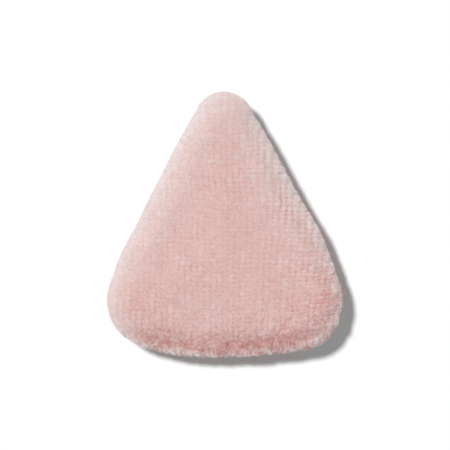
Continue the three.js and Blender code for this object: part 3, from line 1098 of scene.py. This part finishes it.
def dyed_thread():
    """Polyester yarn with a soft gleam, dyed a little unevenly."""
    dyed, nodes, shader = new_material("dyed_thread", {"Roughness": 0.55, "Sheen Weight": 0.2})
    place = nodes.made("ShaderNodeTexCoord", out="Object")
    fibre, batch = nodes.texture(place, 6000.0), nodes.texture(place, 220.0)
    colour = nodes.ramp(fibre * 0.5 + batch * 0.5, (0.35, (0.62, 0.35, 0.32)), (0.65, (0.76, 0.50, 0.46)))
    nodes.feed(shader["Base Color"], colour)
    nodes.feed(shader["Normal"], nodes.bump(fibre, 0.3, 0.02 * mm))
    return dyed


def sewn(path, level, into):
    """A row of stitches along a path: level on top of the cloth and drawn into it at every hole."""
    run = run_along(path)
    finer = np.arange(0.0, run[-1], path_step)
    count = max(1, round(run[-1] / stitch_length))
    to_hole = np.abs((finer * count / run[-1] + 0.5) % 1.0 - 0.5) * run[-1] / count
    levels = level + into * np.exp(-((to_hole / hole_reach) ** 2))
    return np.column_stack((between(finer, run, path), levels))


def seam_path():
    """The seam from one side of the turning gap round the tip to the other."""
    ring = edge_ring(seam_inset)
    in_gap = (ring[:, 1] < base_rows) & (np.abs(ring[:, 0]) < turning_gap / 2)
    start = int(np.flatnonzero(in_gap & ~np.roll(in_gap, -1))[0]) + 1
    ring = np.roll(ring, -start, axis=0)
    return ring[~np.roll(in_gap, -start)]


def tack_path(sign):
    """A short row across one end of the strap."""
    spots = []
    for row in strap_place + (strap_width - selvedge_width) * np.linspace(-0.5, 0.5, tack_steps):
        edge, square = side_edge(row, sign)
        spots.append((edge - sign * tack_inset / square, row))
    return np.array(spots)


def closing_path():
    """The ladder stitch: it crosses from cover to cover along the fold of the turning gap."""
    ring = edge_ring(closing_inset)
    base = (ring[:, 1] < base_rows) & (np.abs(ring[:, 0]) < turning_gap / 2 + stitch_length)
    spots = ring[base][np.argsort(ring[base, 0])]
    across = np.arange(spots[0, 0], spots[-1, 0], path_step)
    return np.column_stack((
        across, np.interp(across, spots[:, 0], spots[:, 1]),
        seam_level + closing_sway * np.sin(across * 2 * math.pi / (2 * stitch_length))))


sewing_thread = thread_tree()
thread_dye = dyed_thread()
for node, path in (
    ("needle_thread", sewn(seam_path(), needle_level, -stitch_sink)),
    ("bobbin_thread", sewn(seam_path(), bobbin_level, stitch_sink)),
    ("left_strap_tack", sewn(tack_path(-1), tack_level, stitch_sink)),
    ("right_strap_tack", sewn(tack_path(1), tack_level, stitch_sink)),
    ("closing_thread", closing_path()),
):
    line = mesh_of(node, path, [], [(spot, spot + 1) for spot in range(len(path) - 1)])
    stitches = grown(line, f"{node}_stitches", sewing_thread, {"Material": thread_dye})
    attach(stitches, "root")
    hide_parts(node)


# Sponge core
# A rounded slab of soft polyurethane foam fills the puff and gives it its spring. It is cut a little smaller
# than the covers and pushed in through the turning gap.
sponge_inset = 5.4
sponge_rim = 0.8
sponge_round = 2.0
sponge_top = 2.8
sponge_bottom = 2.5
first_sponge_share = 0.05
sponge_rings = 24
sponge_edge_rings = 9
sponge_unevenness = 0.12
sponge_lumps = 0.9
sponge_seed = 5


def sponge_mesh():
    """The slab as rings from the middle of its top over its rounded edge to the middle of its bottom."""
    shoulder = edge_ring(sponge_inset + sponge_round)
    rings = []
    for side, top, crown in ((1, sponge_top, crown_rise), (-1, sponge_bottom, 0.0)):
        half = []
        for share in np.linspace(first_sponge_share, 1.0, sponge_rings):
            half.append((
                crown_place + (shoulder - crown_place) * share,
                top + crown * (1 - share**2) ** 2,
            ))
        for angle in np.linspace(math.pi / 2, 0.0, sponge_edge_rings + 1)[1:]:
            half.append((
                edge_ring(sponge_inset + sponge_round * (1 - math.cos(angle))),
                sponge_rim + (top - sponge_rim) * math.sin(angle),
            ))
        sides = [np.column_stack((ring, seam_level + side * ring_levels(ring, level, side)))
                 for ring, level in half]
        rings.extend(sides if side > 0 else sides[::-1])
    points = np.concatenate(rings)
    noise.seed_set(sponge_seed)
    uneven = np.array([noise.noise_vector(Vector(spot) * sponge_lumps) for spot in points])
    points = points + sponge_unevenness * uneven
    faces = [tuple(range(outline_steps))]
    for here in range(0, len(points) - outline_steps, outline_steps):
        below = here + outline_steps
        for step in range(outline_steps):
            after = (step + 1) % outline_steps
            faces.append((here + step, below + step, below + after, here + after))
    faces.append(tuple(range(len(points) - outline_steps, len(points)))[::-1])
    return mesh_of("sponge_core_foam", points, faces)


def foam():
    """Open-cell foam: pale cell walls round small pores of mixed sizes, darkened as painted shade."""
    cells, nodes, shader = new_material("foam", {"Roughness": 0.95, "Specular IOR Level": 0.2})
    place = nodes.made("ShaderNodeTexCoord", out="Object")
    pores = nodes.made("ShaderNodeTexVoronoi", {"Vector": place, "Scale": 2200.0})
    large = nodes.made("ShaderNodeTexVoronoi", {"Vector": place, "Scale": 700.0})
    hollow = pores * (large * 0.6 + 0.6)
    # Painted shade: the pores are darkened where they sink in
    nodes.feed(shader["Base Color"], nodes.ramp(
        hollow, (0.05, (0.52, 0.44, 0.38)), (0.25, (0.80, 0.74, 0.68)), (0.6, (0.88, 0.84, 0.79))))
    nodes.feed(shader["Normal"], nodes.bump(hollow, 0.6, 0.15 * mm))
    return cells


sponge_form = sponge_mesh()
sponge_form.materials.append(foam())
sponge = placed("sponge_core_foam", sponge_form)
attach(sponge, "root")
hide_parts("sponge_core")


# Floor, light and camera
# The puff lies on plain white paper under one soft lamp from the upper left and is seen from straight above.
paper_half = 3000.0
to_lamp = Vector((-0.49, 0.41, 1.0)).normalized()
lamp_strength = 2.98
lamp_spread = math.radians(9.5)
to_fill = (0.8, -0.6, 0.0)
fill_strength = 0.22
sky_strength = 0.24
view_width = 108.7 * mm
view_level = 6 * mm

floor_mesh = mesh_of("floor", [
    (-paper_half, -paper_half, 0.0), (paper_half, -paper_half, 0.0),
    (paper_half, paper_half, 0.0), (-paper_half, paper_half, 0.0)], [(0, 1, 2, 3)])
white_paper, _, _ = new_material("white_paper", {"Base Color": (0.975, 0.985, 0.985, 1), "Roughness": 1.0})
floor_mesh.materials.append(white_paper)
floor = placed("floor", floor_mesh)

lamp = bpy.data.lights.new("key_lamp", "SUN")
lamp.energy = lamp_strength
lamp.angle = lamp_spread
lamp_holder = placed("key_lamp", lamp)
lamp_holder.rotation_euler = to_lamp.to_track_quat("Z", "Y").to_euler()

sky = bpy.data.worlds.new("studio")
sky.use_nodes = True
backdrop = NodeChain(sky.node_tree)
glow = sky.node_tree.nodes["Background"].inputs
fill = backdrop.vector("DOT_PRODUCT", backdrop.made("ShaderNodeTexCoord", out="Generated"), to_fill, out=1)
glow["Color"].default_value = (0.94, 1.0, 1.0, 1)
backdrop.feed(glow["Strength"], fill * fill_strength + sky_strength)
bpy.context.scene.world = sky

camera = bpy.data.cameras.new("camera")
camera.lens = 135.0
camera.sensor_width = 36.0
camera_holder = placed("camera", camera)
camera_holder.location = (0.0, 0.0, view_level + camera.lens * view_width / camera.sensor_width)
bpy.context.scene.camera = camera_holder
bpy.context.scene.view_settings.view_transform = "Standard"
